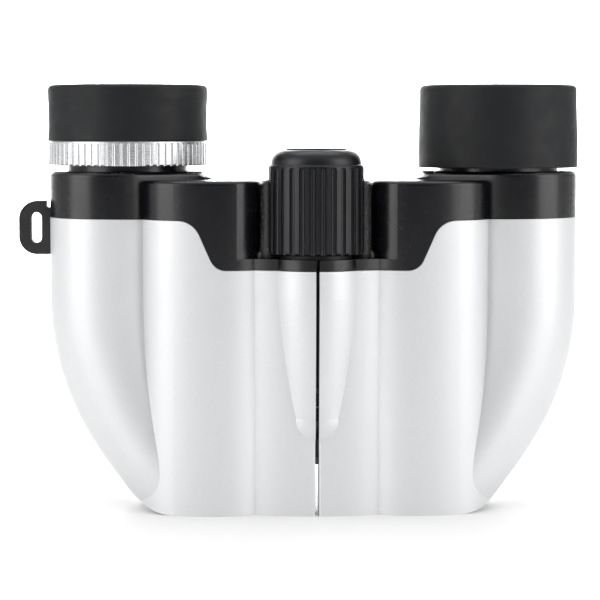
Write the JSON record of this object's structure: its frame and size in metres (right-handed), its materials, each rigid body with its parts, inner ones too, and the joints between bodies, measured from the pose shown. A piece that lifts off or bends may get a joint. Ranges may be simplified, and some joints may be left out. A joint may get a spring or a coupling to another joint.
{
  "type": "binoculars",
  "caption": "Compact reverse-Porro binoculars with a folding hinge, a central focus knob, a diopter ring and a strap lug.",
  "frame": {"origin": "centre of the bounding box's bottom, in the plane of the objective ends that the part stands on; the fold hinge's axis is 2.9 mm to +X and 11.1 mm to -Y of it", "axes": "+Z along the optical axes from the objectives to the eyepieces, +X across the two bodies, to the right seen from the knob side, +Y from the knob side to the underside"},
  "size_m": [0.1122, 0.0408, 0.0841],
  "materials": {
    "shell_silver": "silver satin paint",
    "shell_black": "fine spark-eroded texture",
    "screw_black": "black zinc",
    "bezel_black": "satin",
    "frame_black": "moulded",
    "steel": "turned",
    "brass": "turned",
    "prism_glass": "polished",
    "lens_glass": "coated",
    "cell_black": "black anodised",
    "eyecup_rubber": "matte",
    "ring_silver": "fine knurl",
    "knob_black": "ribbed",
    "lug_black": "matte"
  },
  "bodies": {
    "left_half": {"left_housing": "shell_silver", "left_cover": "shell_black", "left_cover_screws": "screw_black", "left_objective_bezel": "bezel_black", "left_prism_shelf": "frame_black", "left_shelf_screws": "steel", "left_upper_prism": "prism_glass", "left_lower_prism": "prism_glass", "left_upper_prism_clip": "steel", "left_lower_prism_clip": "steel", "left_hinge_leaf": "frame_black", "left_leaf_screws": "steel", "hinge_tube": "screw_black", "hinge_end_nut": "screw_black", "hinge_washers": "frame_black", "strap_lug": "lug_black", "thrust_washer": "frame_black"},
    "right_half": {"right_housing": "shell_silver", "right_cover": "shell_black", "right_cover_screws": "screw_black", "right_objective_bezel": "bezel_black", "right_prism_shelf": "frame_black", "right_shelf_screws": "steel", "right_upper_prism": "prism_glass", "right_lower_prism": "prism_glass", "right_upper_prism_clip": "steel", "right_lower_prism_clip": "steel", "right_hinge_leaf": "frame_black", "right_leaf_screws": "steel", "right_eyepiece_cell": "cell_black", "right_field_lens": "lens_glass", "right_field_stop": "cell_black", "right_eye_lens": "lens_glass", "right_eye_lens_retainer": "cell_black", "right_eyecup_seat": "frame_black", "right_eyecup": "eyecup_rubber"},
    "focus_drive": {"focus_knob": "knob_black", "knob_cap": "knob_black", "focus_spindle": "screw_black"},
    "left_focus_carriage": {"focus_carriage": "screw_black", "focus_nut": "brass", "focus_pins": "steel", "left_focus_arm": "frame_black", "left_objective_cell": "cell_black", "left_objective_crown": "lens_glass", "left_objective_flint": "lens_glass", "left_objective_retainer": "cell_black"},
    "right_focus_carriage": {"right_focus_arm": "frame_black", "right_objective_cell": "cell_black", "right_objective_crown": "lens_glass", "right_objective_flint": "lens_glass", "right_objective_retainer": "cell_black"},
    "left_eyepiece": {"left_eyepiece_cell": "cell_black", "left_field_lens": "lens_glass", "left_field_stop": "cell_black", "left_eye_lens": "lens_glass", "left_eye_lens_retainer": "cell_black"},
    "diopter_collar": {"diopter_ring": "ring_silver", "left_eyecup_seat": "frame_black", "left_eyecup": "eyecup_rubber"}
  },
  "joints": [
    {"name": "hinge_fold", "type": "hinge", "parent": "left_half", "child": "right_half", "pos_m": [0.00287, -0.01107, 0.03], "axis": [0, 0, 1], "range_deg": [0, 46]},
    {"name": "focus_turn", "type": "hinge", "parent": "left_half", "child": "focus_drive", "pos_m": [0.00287, -0.01107, 0.06], "axis": [0, 0, 1], "range_deg": [-270, 270]},
    {"name": "left_focus_slide", "type": "slide", "parent": "left_half", "child": "left_focus_carriage", "axis": [0, 0, 1], "range_m": [-0.0018, 0.0018]},
    {"name": "right_focus_slide", "type": "slide", "parent": "right_half", "child": "right_focus_carriage", "axis": [0, 0, 1], "range_m": [-0.0018, 0.0018]},
    {"name": "diopter_travel", "type": "slide", "parent": "left_half", "child": "left_eyepiece", "axis": [0, 0, 1], "range_m": [-0.00045, 0.00045]},
    {"name": "diopter_turn", "type": "hinge", "parent": "left_eyepiece", "child": "diopter_collar", "pos_m": [-0.03439, 0.00442, 0.07], "axis": [0, 0, 1], "range_deg": [-60, 60]}
  ],
  "couplings": [
    {"joint": "left_focus_slide", "follows": "focus_turn", "m_per_rad": 0.00038197},
    {"joint": "right_focus_slide", "follows": "focus_turn", "m_per_rad": 0.00038197},
    {"joint": "diopter_travel", "follows": "diopter_turn", "m_per_rad": 0.00042972}
  ]
}
